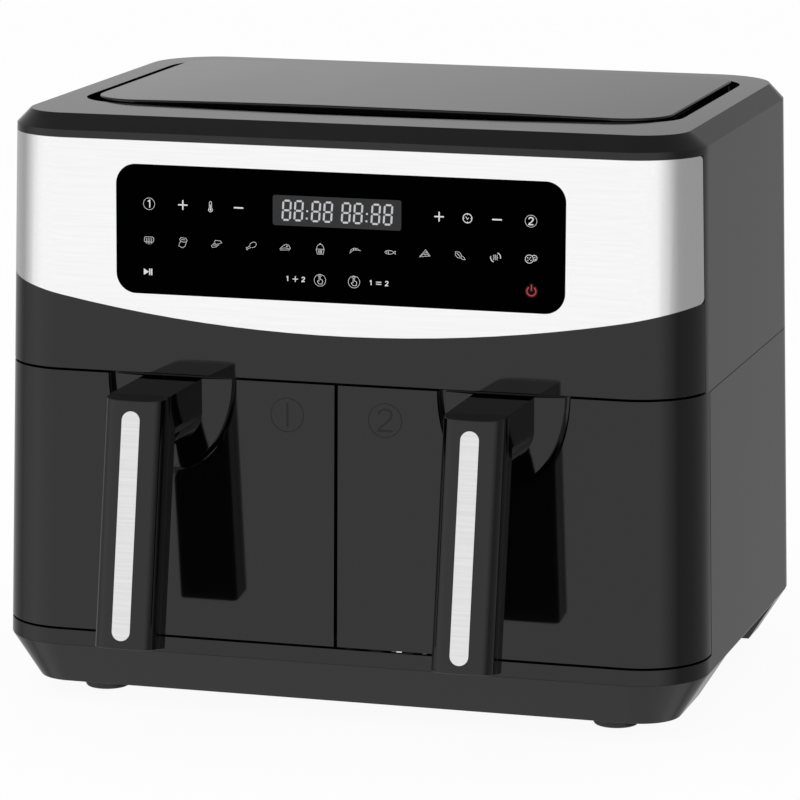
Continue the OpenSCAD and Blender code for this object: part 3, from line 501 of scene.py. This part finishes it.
def rounded_rect(x0, y0, x1, y1, radius, steps=6):
    """The outline of a rectangle with round corners."""
    points = []
    for cx, cy, start in ((x1 - radius, y1 - radius, 0), (x0 + radius, y1 - radius, 90),
                          (x0 + radius, y0 + radius, 180), (x1 - radius, y0 + radius, 270)):
        for i in range(steps + 1):
            angle = math.radians(start + 90 * i / steps)
            points.append((cx + radius * math.cos(angle), cy + radius * math.sin(angle)))
    return points


# Places on the glass, in mm from its middle
MAIN_ROW = 13.6
FOOD_ROW = -6.2
LOWER_ROW = -22.8
PLUS_X = (-85.0, 55.8)
MINUS_X = (-54.0, 87.0)
THERMOMETER_X = -69.6
CLOCK_X = 71.1
FOOD_X = (-104.0, -85.0, -66.2, -46.9, -28.2, -8.9, 10.2, 29.3, 48.2, 67.1, 86.4, 105.2)
START_X = -107.0
LINK_X = (-9.0, 9.7)
PLUS_SIGN_X = -22.6
EQUALS_SIGN_X = 23.2
POWER_X = 105.8
WINDOW_BOX = (-35.1, 5.4, 35.3, 21.4)
WINDOW_R = 1.3

# Widths of strokes
THIN = 0.20
NUMBER_W = 0.6
PLUS_W = 0.7
MINUS_W = 0.75
SMALL_NUMBER_W = 0.5
SMALL_SIGN_W = 0.45

KEY_R = 3.13              # ring of a round key
PLUS_REACH = 2.3          # half of the long stroke in a plus or a minus
AIR_R = 2.7               # arcs of air around the warming pictogram

# Digits, as strokes about their middle
ONE = [(-0.7, 1.25), (0.4, 1.9), (0.4, -2.0)]
TWO = [(-1.2, 1.0), (-0.9, 1.6), (-0.3, 1.9), (0.3, 1.9), (0.95, 1.55), (1.15, 1.0), (0.95, 0.4), (0.2, -0.4),
       (-0.9, -1.3), (-1.2, -1.8), (1.3, -1.8)]
NUMBER_KEYS = ((-103.9, ONE), (105.2, TWO))


def main_keys(art):
    """Number keys, plus and minus."""
    for x, digit in NUMBER_KEYS:
        art.ring(x, MAIN_ROW, KEY_R, THIN)
        art.line(at(x, MAIN_ROW, digit), NUMBER_W)
    for x in PLUS_X:
        art.bar((x - PLUS_REACH, MAIN_ROW + 0.2), (x + PLUS_REACH, MAIN_ROW + 0.2), PLUS_W)
        art.bar((x, MAIN_ROW - 2.1), (x, MAIN_ROW - 0.15), PLUS_W)
        art.bar((x, MAIN_ROW + 0.55), (x, MAIN_ROW + 2.5), PLUS_W)
    for x in MINUS_X:
        art.bar((x - PLUS_REACH, MAIN_ROW), (x + PLUS_REACH, MAIN_ROW), MINUS_W)


def thermometer(art, x, y):
    art.ring(x, y - 1.7, 1.1, 0.32, 118, 422)
    art.disc(x, y - 1.7, 0.5)
    art.line(at(x, y, [(-0.6, -0.6), (-0.6, 2.1), (-0.3, 2.65), (0.3, 2.65), (0.6, 2.1), (0.6, -0.6)]), 0.26)
    art.bar((x, y - 1.2), (x, y + 0.9), 0.35)


def clock(art, x, y):
    art.ring(x, y, 2.4, 0.42)
    art.line(at(x, y, [(-1.0, 0.9), (0.0, -0.5), (0.6, 0.3)]), 0.36)
    for k in range(4):
        angle = math.radians(90 * k)
        inner, outer = [(x + reach * math.cos(angle), y + reach * math.sin(angle)) for reach in (1.85, 2.1)]
        art.bar(inner, outer, 0.4)


# Pictograms, plain drawings of kinds of food and of warming


def rack(art, x, y):
    art.line(at(x, y, rounded_rect(-2.6, -0.6, 2.6, 2.1, 0.6, 3)), THIN, True)
    for k in (-1.5, -0.5, 0.5, 1.5):
        art.bar((x + k, y + 1.4), (x + k, y - 1.9 + 0.3 * abs(k)), THIN)


def joint_of_meat(art, x, y):
    art.line(at(x, y, [(-1.2, 2.5), (1.6, 2.3), (2.3, 1.2), (1.9, 0.3), (1.2, -2.0), (-0.3, -2.9),
                       (-2.3, -1.9), (-1.9, -0.4), (-1.1, 0.6), (-1.9, 1.4)]), THIN, True)
    art.line(at(x, y, [(-1.1, 0.6), (0.4, 0.1), (1.9, 0.3)]), THIN)
    art.line(at(x, y, [(-1.0, 1.5), (1.3, 1.4)]), THIN)


def fillets(art, x, y):
    art.line(at(x, y, [(-0.9, 1.9), (1.9, 1.8), (2.9, 0.9), (1.4, 0.2), (-0.4, -0.2),
                       (-1.2, 0.6)]), THIN, True)
    art.line(at(x, y, [(-1.2, 0.4), (-2.9, -1.0), (-2.4, -1.9), (-0.2, -1.5), (1.2, -0.3)]), THIN)
    art.line(at(x, y, [(-1.9, -0.6), (0.2, -0.6)]), THIN)


def drumstick(art, x, y):
    art.ring(x + 0.9, y + 0.5, 1.9, THIN, 225, 540, steps=26, squash=0.72, turn=28)
    art.line(at(x, y, [(-0.8, 0.0), (-2.2, -1.1), (-2.9, -1.2), (-2.5, -1.7), (-2.4, -2.3), (-1.8, -1.7),
                       (-0.2, -0.9)]), THIN)


def steak(art, x, y):
    art.line(at(x, y, [(-2.9, -0.8), (-1.5, 0.5), (0.4, 1.7), (1.9, 1.2), (2.9, -0.3), (2.3, -1.3),
                       (-2.6, -1.5)]), THIN, True)
    art.line(at(x, y, [(-2.2, -0.6), (0.2, -0.3), (2.4, -0.7)]), THIN)
    art.disc(x + 1.0, y + 0.6, 0.35, 10)


def cupcake(art, x, y):
    art.ring(x, y + 0.4, 1.9, THIN, -10, 190, steps=16, squash=1.1)
    art.line(at(x, y, [(-2.2, -0.1), (2.2, -0.1), (1.6, -2.7), (-1.6, -2.7)]), THIN, True)
    for k in (-0.8, 0.0, 0.8):
        art.bar((x + k, y - 0.6), (x + k * 0.85, y - 2.2), 0.3)
    art.disc(x, y + 2.75, 0.3, 8)


def prawn(art, x, y):
    art.line(at(x, y, [(-2.9, -1.5), (-2.3, 0.4), (-0.7, 1.3), (1.3, 1.1), (3.0, 0.1), (1.2, 0.4),
                       (-0.7, 0.3), (-1.9, -0.5)]), THIN, True)
    art.bar((x - 0.9, y + 1.0), (x - 0.7, y + 0.2), 0.3)
    art.bar((x + 0.4, y + 1.0), (x + 0.3, y + 0.4), 0.3)


def fish(art, x, y):
    art.ring(x - 0.5, y, 2.3, THIN, steps=28, squash=0.42)
    art.line(at(x, y, [(1.7, 0.0), (3.0, 0.9), (2.7, 0.0), (3.0, -0.9)]), THIN, True)
    art.disc(x - 1.8, y + 0.15, 0.25, 8)
    art.bar((x - 0.9, y + 0.6), (x - 0.9, y - 0.6), 0.28)


def pizza_slice(art, x, y):
    art.line(at(x, y, [(-2.9, -1.6), (0.4, 2.3), (2.9, -0.9)]), THIN, True)
    art.line(at(x, y, [(-2.0, -1.1), (0.6, 1.2), (2.1, -0.8)]), THIN)
    art.disc(x + 0.1, y - 0.3, 0.32, 8)
    art.disc(x + 1.1, y - 0.2, 0.26, 8)


def greens(art, x, y):
    art.line(at(x, y, [(-2.3, 2.1), (-0.2, 1.9), (0.9, 0.4), (0.6, -1.2), (-1.1, -1.1),
                       (-2.4, 0.3)]), THIN, True)
    art.line(at(x, y, [(0.9, 0.0), (2.3, -0.7), (2.9, -1.9), (1.6, -1.9), (0.6, -1.2)]), THIN)
    art.line(at(x, y, [(-1.7, 1.4), (-0.6, 0.4), (0.2, -0.7)]), 0.28)


def warm_air(art, x, y):
    for k in (-0.9, 0.0, 0.9):
        art.line(at(x + k, y, [(0.15, 1.4), (-0.3, 0.7), (0.25, 0.0), (-0.3, -0.7), (0.1, -1.4)]), 0.24)
    for start in (-38, 142):
        art.ring(x, y, AIR_R, 0.44, start, start + 80, steps=12, squash=0.95, turn=25)


def fruit_slices(art, x, y):
    art.ring(x - 0.7, y, 2.15, 0.32)
    art.ring(x + 1.9, y + 0.6, 1.5, 0.28, -115, 140, steps=18)
    for px, py in ((-1.6, 0.7), (-0.1, 0.8), (-1.5, -0.8), (0.2, -0.7), (-0.7, 0.0), (2.2, 0.9), (2.4, -0.1)):
        art.disc(x + px, y + py, 0.3, 8)


PICTOGRAMS = (rack, joint_of_meat, fillets, drumstick, steak, cupcake, prawn, fish, pizza_slice, greens,
              warm_air, fruit_slices)


def start_pause(art, x, y):
    """A triangle and two bars side by side."""
    half, bar_w = 1.75, 0.7
    art.polygon(at(x, y, [(0.0, half), (0.0, -half), (2.9, 0.0)]))
    for bar_x in (3.0, 4.1):
        art.polygon(at(x + bar_x, y, [(0.0, -half), (bar_w, -half), (bar_w, half), (0.0, half)]))


def link_key(art, x, y):
    """A pointing hand in a ring."""
    art.ring(x, y, KEY_R, THIN)
    hand = [(-0.55, -0.5), (-0.55, 2.0), (-0.15, 2.35), (0.2, 2.0), (0.2, 0.6), (1.35, 0.3), (1.6, -0.3),
            (1.3, -2.1), (-0.6, -2.1), (-1.6, -0.7), (-1.25, -0.35)]
    art.line(at(x, y, hand, 0.92), 0.24, True)
    art.ring(x - 0.15, y + 1.75, 1.0, THIN, 20, 160, steps=8)


def small_one_and_two(art, x, y):
    """The digits on both sides of the sign beside a linking key."""
    apart, size = 4.4, 0.62
    art.line(at(x - apart, y, ONE, size), SMALL_NUMBER_W)
    art.line(at(x + apart, y, TWO, size), SMALL_NUMBER_W)


def one_plus_two(art, x, y):
    small_one_and_two(art, x, y)
    art.bar((x - 1.3, y), (x + 1.3, y), SMALL_SIGN_W)
    art.bar((x, y + 0.25), (x, y + 1.3), SMALL_SIGN_W)
    art.bar((x, y - 0.25), (x, y - 1.3), SMALL_SIGN_W)


def one_equals_two(art, x, y):
    small_one_and_two(art, x, y)
    for rise in (0.55, -0.55):
        art.bar((x - 1.3, y + rise), (x + 1.3, y + rise), SMALL_SIGN_W)


art = Artwork(0.0, GLASS_MID, GLASS_FACE + 0.01, 0.04)
main_keys(art)
thermometer(art, THERMOMETER_X, MAIN_ROW)
clock(art, CLOCK_X, MAIN_ROW)
for x, pictogram in zip(FOOD_X, PICTOGRAMS):
    pictogram(art, x, FOOD_ROW)
start_pause(art, START_X, LOWER_ROW)
for x in LINK_X:
    link_key(art, x, LOWER_ROW)
one_plus_two(art, PLUS_SIGN_X, LOWER_ROW)
one_equals_two(art, EQUALS_SIGN_X, LOWER_ROW)
art.finish("panel_symbols", PRINT)

# Power symbol over its own soft glow: how far each layer stands proud of the glass, and its stroke's width
for name, material, proud, width in (("power_glow", GLOW, 0.005, 2.3), ("power_bloom", BLOOM, 0.015, 1.25),
                                     ("power_symbol", RED, 0.025, 0.55)):
    power = Artwork(0.0, GLASS_MID, GLASS_FACE + proud, 0.01)
    power.ring(POWER_X, LOWER_ROW - 0.2, 2.4, width, 125, 415, steps=30)
    power.bar((POWER_X, LOWER_ROW + 0.3), (POWER_X, LOWER_ROW + 2.9), width)
    power.finish(name, material)

window = Artwork(0.0, GLASS_MID, GLASS_FACE + 0.005, 0.01)
window.polygon(rounded_rect(*WINDOW_BOX, WINDOW_R))
window.finish("display_window", WINDOW)

# ------------------------------------------------------------ lit display, with every segment on

DIGIT_X = (-27.4, -20.8, -11.3, -4.7, 5.2, 11.8, 21.4, 28.1)
COLON_X = (-16.1, 16.6)
DIGIT_MID = 13.5                        # middle of the digits over the middle of the glass
SEG_W, SEG_H, SEG_T = 4.1, 10.2, 1.05   # width and height of a digit, thickness of a segment
LEAN = 0.06                             # how far a digit leans over for each mm of its height
DOT_HALF = 0.5                          # half of a colon's dot


def leaned(middle, points):
    return [(middle + px + py * LEAN, DIGIT_MID + py) for px, py in points]


def segment_digit(art, middle):
    half = SEG_T / 2
    for level in (-SEG_H / 2, 0.0, SEG_H / 2):
        a, b = -SEG_W / 2 + 0.62, SEG_W / 2 - 0.62
        art.polygon(leaned(middle, [(a - 0.25, level), (a + 0.2, level + half), (b - 0.2, level + half),
                                    (b + 0.25, level), (b - 0.2, level - half), (a + 0.2, level - half)]))
    for px in (-SEG_W / 2, SEG_W / 2):
        for low, high in ((-SEG_H / 2, 0.0), (0.0, SEG_H / 2)):
            a, b = low + 0.6, high - 0.6
            art.polygon(leaned(middle, [(px, a - 0.3), (px + half, a + 0.2), (px + half, b - 0.2),
                                        (px, b + 0.3), (px - half, b - 0.2), (px - half, a + 0.2)]))


def colon(art, middle):
    for py in (-3.9, 0.0):
        mid_x, mid_y = leaned(middle, [(0.0, py)])[0]
        art.polygon(at(mid_x, mid_y, [(-DOT_HALF, -DOT_HALF), (DOT_HALF, -DOT_HALF),
                                      (DOT_HALF, DOT_HALF), (-DOT_HALF, DOT_HALF)]))


digits = Artwork(0.0, GLASS_MID, GLASS_FACE + 0.02, 0.03)
for middle in DIGIT_X:
    segment_digit(digits, middle)
for middle in COLON_X:
    colon(digits, middle)
digits.finish("display_digits", DIGITS)

# ------------------------------------------------------------ badges of the drawers

BADGE_SCALE = 3.1         # a badge's two against the two of the keys
BADGE_R = 9.07            # middle of the groove around the number
BADGE_ONE = [(0.0, 2.05), (0.0, -2.05)]
for side, middle, shape in (("left", -BADGE_X, BADGE_ONE), ("right", BADGE_X, TWO)):
    badge = Artwork(middle, -BADGE_DROP, -0.05, 0.25)
    badge.line(at(0.0, 0.0, shape, BADGE_SCALE), 1.0)
    badge.finish("badge_number_" + side, RELIEF, "drawer_" + side)
    groove = Artwork(middle, -BADGE_DROP, -0.45, 0.3)
    groove.ring(0.0, 0.0, BADGE_R, 0.42, steps=72)
    groove.finish("badge_ring_" + side, RELIEF, "drawer_" + side)

# ------------------------------------------------------------ floor, light and surroundings

FLOOR_HALF = 6.0
FLOOR_DROP = 0.0002       # the feet stand on the floor without sharing its plane
FLOOR_WHITE = 0.94        # how much of the floor is plain white to the camera; the rest keeps the shadow
SIDE_GREY = 0.31          # what reflections find at the sides of the studio
DIFFUSE_LIGHT = 0.8       # level of the light that falls on rough surfaces
FRONT_TURN = math.radians(7.5)  # how far the bright front lies left of straight ahead


def floor_material():
    """Pale floor that keeps the object's shadow, and is nearly white to the camera."""
    made = bpy.data.materials.new("floor")
    made.use_nodes = True
    tree = made.node_tree
    tree.nodes.clear()
    output = tree.nodes.new("ShaderNodeOutputMaterial")
    diffuse = tree.nodes.new("ShaderNodeBsdfDiffuse")
    diffuse.inputs["Color"].default_value = (0.9, 0.9, 0.9, 1)
    white = tree.nodes.new("ShaderNodeEmission")
    white.inputs["Color"].default_value = (1, 1, 1, 1)
    path = tree.nodes.new("ShaderNodeLightPath")
    share = tree.nodes.new("ShaderNodeMath")
    share.operation = "MULTIPLY"
    share.inputs[1].default_value = FLOOR_WHITE
    blend = tree.nodes.new("ShaderNodeMixShader")
    tree.links.new(path.outputs["Is Camera Ray"], share.inputs[0])
    tree.links.new(share.outputs[0], blend.inputs["Fac"])
    tree.links.new(diffuse.outputs[0], blend.inputs[1])
    tree.links.new(white.outputs[0], blend.inputs[2])
    tree.links.new(blend.outputs[0], output.inputs["Surface"])
    return made


floor_mesh = bmesh.new()
bmesh.ops.create_grid(floor_mesh, x_segments=1, y_segments=1, size=FLOOR_HALF)
floor = as_object("floor", floor_mesh, floor_material(), smooth=False)
floor.location.z = -FLOOR_DROP
floor.visible_glossy = False


def surroundings():
    """White to the camera and even to diffuse light. Reflections find a studio with a bright front, grey
    sides that lighten to the far left, a bright ground and a dimmer band behind."""
    world = bpy.data.worlds.new("studio")
    bpy.context.scene.world = world
    world.use_nodes = True
    nt = world.node_tree
    nt.nodes.clear()
    out = nt.nodes.new("ShaderNodeOutputWorld")
    shade = nt.nodes.new("ShaderNodeBackground")
    coords = nt.nodes.new("ShaderNodeTexCoord").outputs["Generated"]
    split = nt.nodes.new("ShaderNodeSeparateXYZ")
    nt.links.new(coords, split.inputs[0])

    def math_node(kind, a, b=None, c=None):
        made = nt.nodes.new("ShaderNodeMath")
        made.operation = kind
        for i, value in enumerate((a, b, c)):
            if value is None:
                continue
            if isinstance(value, (int, float)):
                made.inputs[i].default_value = value
            else:
                nt.links.new(value, made.inputs[i])
        return made.outputs[0]

    def ramp(value, start, end, low, high, kind="SMOOTHSTEP"):
        """Goes from low to high while the value goes from start to end, and stays there beyond."""
        made = nt.nodes.new("ShaderNodeMapRange")
        made.interpolation_type = kind
        made.inputs["From Min"].default_value = start
        made.inputs["From Max"].default_value = end
        made.inputs["To Min"].default_value = low
        made.inputs["To Max"].default_value = high
        nt.links.new(value, made.inputs["Value"])
        return made.outputs["Result"]

    x, y, z = split.outputs
    flat = math_node("ADD", math_node("MULTIPLY", x, x), math_node("MULTIPLY", y, y))
    level = math_node("SQRT", math_node("MAXIMUM", flat, 0.0001))
    # Cosine of the angle in plan to the middle of the bright front
    toward = math_node("ADD", math_node("MULTIPLY", x, -math.sin(FRONT_TURN)),
                       math_node("MULTIPLY", y, -math.cos(FRONT_TURN)))
    facing = math_node("DIVIDE", toward, level)
    # The front fades to the sides sooner on the right than on the left, and then upwards and downwards
    left_half = ramp(facing, -0.10, 0.56, SIDE_GREY, 1.0, "LINEAR")
    right_half = ramp(facing, 0.06, 0.62, SIDE_GREY, 1.0, "LINEAR")
    change = math_node("SUBTRACT", right_half, left_half)
    rightness = ramp(x, -0.15, 0.15, 0.0, 1.0)
    front = math_node("MULTIPLY_ADD", change, rightness, left_half)
    front = math_node("MULTIPLY", front, ramp(z, 0.35, 0.6, 1.0, 0.2))
    front = math_node("MULTIPLY", front, ramp(z, -0.85, -0.5, 0.75, 1.0))
    ground = ramp(z, -0.85, -0.55, 0.78, 0.0)
    behind = ramp(math_node("DIVIDE", y, level), 0.6, 0.9, 0.0, 1.0)
    rear_band = math_node("MULTIPLY", ramp(z, 0.0, 0.06, 0.46, 0.60), ramp(z, 0.09, 0.20, 1.0, 0.45))
    rear_band = math_node("MULTIPLY", rear_band, ramp(x, -0.55, 0.15, 1.2, 0.72))
    value = math_node("MAXIMUM", front, ground)
    value = math_node("MAXIMUM", value, math_node("MULTIPLY", behind, rear_band))
    side_light = ramp(facing, -1.0, -0.10, 0.56, 0.335, "LINEAR")
    far_left = math_node("MULTIPLY", side_light, ramp(x, -0.3, 0.0, 1.0, 0.0))
    studio = math_node("MAXIMUM", math_node("MAXIMUM", value, far_left), SIDE_GREY)
    light_path = nt.nodes.new("ShaderNodeLightPath")
    diffuse_ray = light_path.outputs["Is Diffuse Ray"]
    camera_ray = light_path.outputs["Is Camera Ray"]
    strength = math_node("MULTIPLY_ADD", math_node("SUBTRACT", DIFFUSE_LIGHT, studio), diffuse_ray, studio)
    strength = math_node("MAXIMUM", strength, camera_ray)
    shade.inputs["Color"].default_value = (1, 1, 1, 1)
    nt.links.new(strength, shade.inputs["Strength"])
    nt.links.new(shade.outputs[0], out.inputs["Surface"])


surroundings()

LAMP_TARGET = Vector((0, 0, 0.15))


def lamp(name, where, size, power):
    """A square area lamp aimed at the object, with no image of its own in reflections."""
    data = bpy.data.lights.new(name, "AREA")
    data.shape = "SQUARE"
    data.size = size
    data.energy = power
    obj = bpy.data.objects.new(name, data)
    bpy.context.scene.collection.objects.link(obj)
    obj.location = where
    obj.rotation_euler = (LAMP_TARGET - Vector(where)).to_track_quat("-Z", "Y").to_euler()
    obj.visible_glossy = False


lamp("soft_top", where=(-0.6, -0.8, 2.4), size=2.0, power=14.0)
bpy.context.scene.view_settings.view_transform = "Standard"
